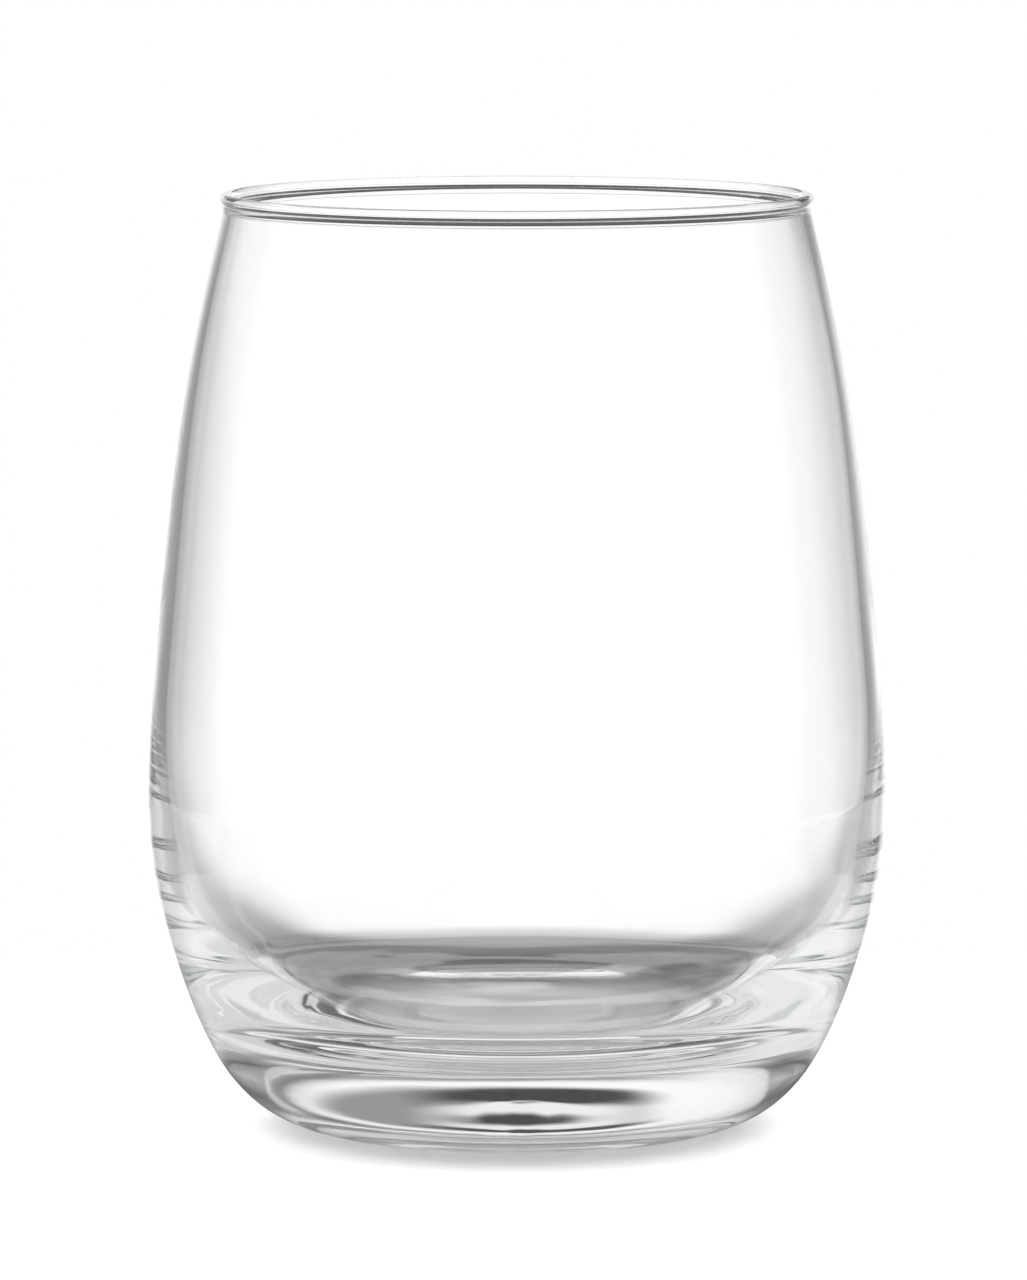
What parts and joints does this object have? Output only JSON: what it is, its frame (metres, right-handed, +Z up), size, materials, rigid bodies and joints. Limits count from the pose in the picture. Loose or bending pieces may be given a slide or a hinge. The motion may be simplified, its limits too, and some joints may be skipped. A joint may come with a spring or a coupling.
{
  "type": "stemless wine glass",
  "caption": "Clear stemless wine glass: a rounded bowl that narrows to a fire-polished rim and stands on its own thick flat base.",
  "frame": {"origin": "middle of the base, on the surface that the glass stands on", "axes": "+Z up along the axis of the glass, from the base to the mouth; the glass is round, so +X and +Y are free"},
  "size_m": [0.0868, 0.0868, 0.11],
  "materials": {
    "clear_glass": "clear, fire-polished"
  },
  "bodies": {
    "root": {"glass_body": "clear_glass"}
  },
  "joints": []
}
